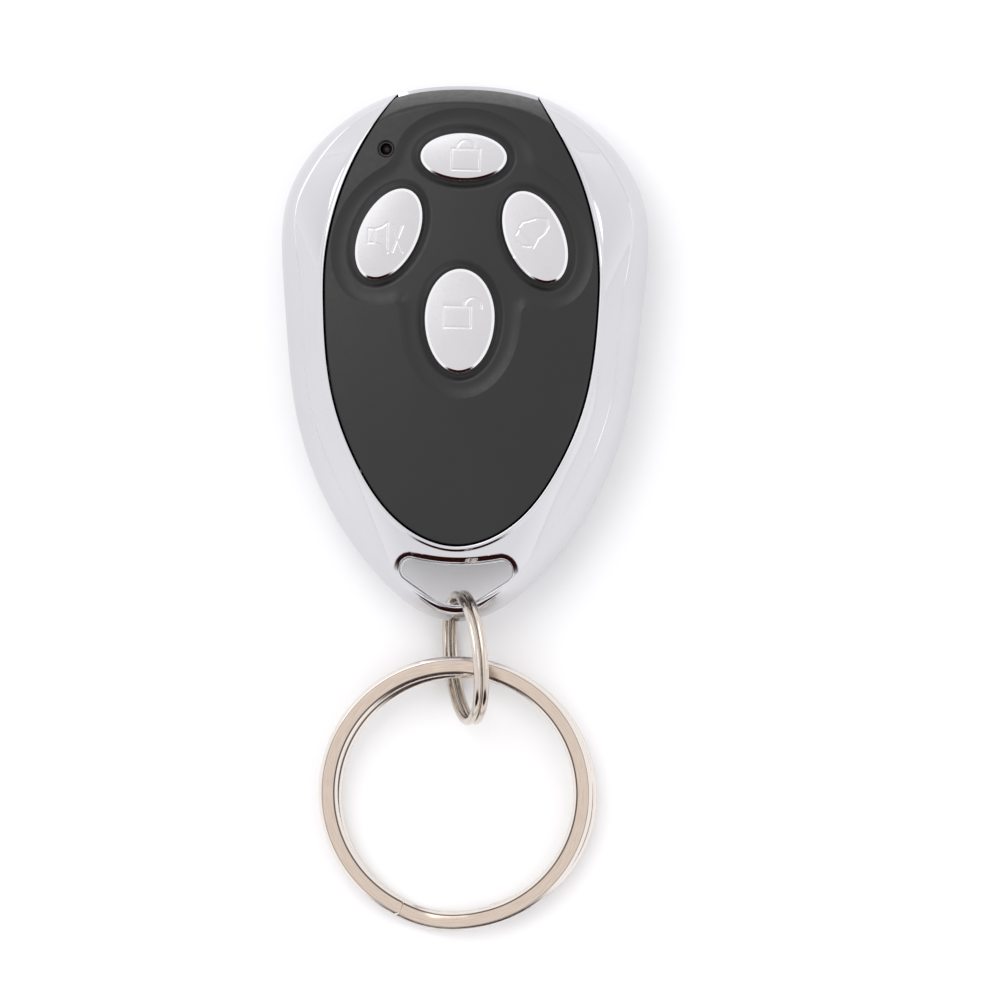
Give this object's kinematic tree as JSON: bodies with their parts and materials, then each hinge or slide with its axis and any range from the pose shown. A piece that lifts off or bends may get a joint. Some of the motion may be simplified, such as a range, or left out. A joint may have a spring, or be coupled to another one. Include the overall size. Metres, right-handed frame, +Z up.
{
  "type": "garage door remote",
  "caption": "Key-ring garage door remote: pebble casing with bright surround, dark panel, oval buttons, eyelet and two linked split rings.",
  "frame": {"origin": "on the flat back face, under the middle of the casing; the casing lies on its back", "axes": "+X to the right seen from the front with the head up, +Y towards the head end away from the rings, +Z up through the buttons"},
  "size_m": [0.0398, 0.0917, 0.0145],
  "materials": {
    "chrome_plastic": "bright plated plastic",
    "black_plastic": "satin moulded",
    "silver_buttons": "satin silver plating",
    "switch_stems": "moulded",
    "switch_housings": "moulded",
    "switch_plates": "stamped",
    "board_laminate": "lacquered glass fibre",
    "chip_plastic": "moulded",
    "tinned_leads": "tinned",
    "can_metal": "drawn can",
    "trimmer_ceramic": "ceramic",
    "resistor_body": "glazed",
    "capacitor_body": "ceramic",
    "lamp_lens": "tinted epoxy",
    "aerial_wire": "enamelled wire",
    "battery_jacket": "printed film, no text",
    "contact_strip": "nickel plated",
    "screw_steel": "blackened",
    "ring_steel": "nickel plated wire"
  },
  "bodies": {
    "casing": {"rear_shell": "chrome_plastic", "chrome_frame": "chrome_plastic", "front_panel": "black_plastic", "switch_bodies": "switch_housings", "switch_covers": "switch_plates", "circuit_board": "board_laminate", "encoder_chip": "chip_plastic", "encoder_leads": "tinned_leads", "saw_resonator": "can_metal", "rf_transistor": "chip_plastic", "trimmer_capacitor": "trimmer_ceramic", "chip_resistors": "resistor_body", "chip_capacitors": "capacitor_body", "indicator_lamp": "lamp_lens", "loop_aerial": "aerial_wire", "battery": "battery_jacket", "positive_contact": "contact_strip", "negative_contact": "contact_strip", "cover_screws": "screw_steel"},
    "lock_key": {"lock_button": "silver_buttons", "lock_switch_stem": "switch_stems"},
    "mute_key": {"mute_button": "silver_buttons", "mute_switch_stem": "switch_stems"},
    "alarm_key": {"alarm_button": "silver_buttons", "alarm_switch_stem": "switch_stems"},
    "unlock_key": {"unlock_button": "silver_buttons", "unlock_switch_stem": "switch_stems"},
    "small_ring": {"small_ring": "ring_steel"},
    "key_ring": {"key_ring": "ring_steel"}
  },
  "joints": [
    {"name": "lock_press", "type": "slide", "parent": "casing", "child": "lock_key", "axis": [0, 0, -1], "range_m": [0, 0.0003], "stiffness_N_per_m": 900, "springref_m": -0.0008},
    {"name": "mute_press", "type": "slide", "parent": "casing", "child": "mute_key", "axis": [0, 0, -1], "range_m": [0, 0.0003], "stiffness_N_per_m": 900, "springref_m": -0.0008},
    {"name": "alarm_press", "type": "slide", "parent": "casing", "child": "alarm_key", "axis": [0, 0, -1], "range_m": [0, 0.0003], "stiffness_N_per_m": 900, "springref_m": -0.0008},
    {"name": "unlock_press", "type": "slide", "parent": "casing", "child": "unlock_key", "axis": [0, 0, -1], "range_m": [0, 0.0003], "stiffness_N_per_m": 900, "springref_m": -0.0008},
    {"name": "small_ring_turn", "type": "hinge", "parent": "casing", "child": "small_ring", "pos_m": [0.00115, -0.03275, 0.00725], "axis": [0.9545, 0.1138, -0.2756], "range_deg": [-75, 20]},
    {"name": "key_ring_swing", "type": "hinge", "parent": "small_ring", "child": "key_ring", "pos_m": [0.00043, -0.03383, 0.00336], "axis": [1, 0, 0], "range_deg": [-60, 45]}
  ]
}
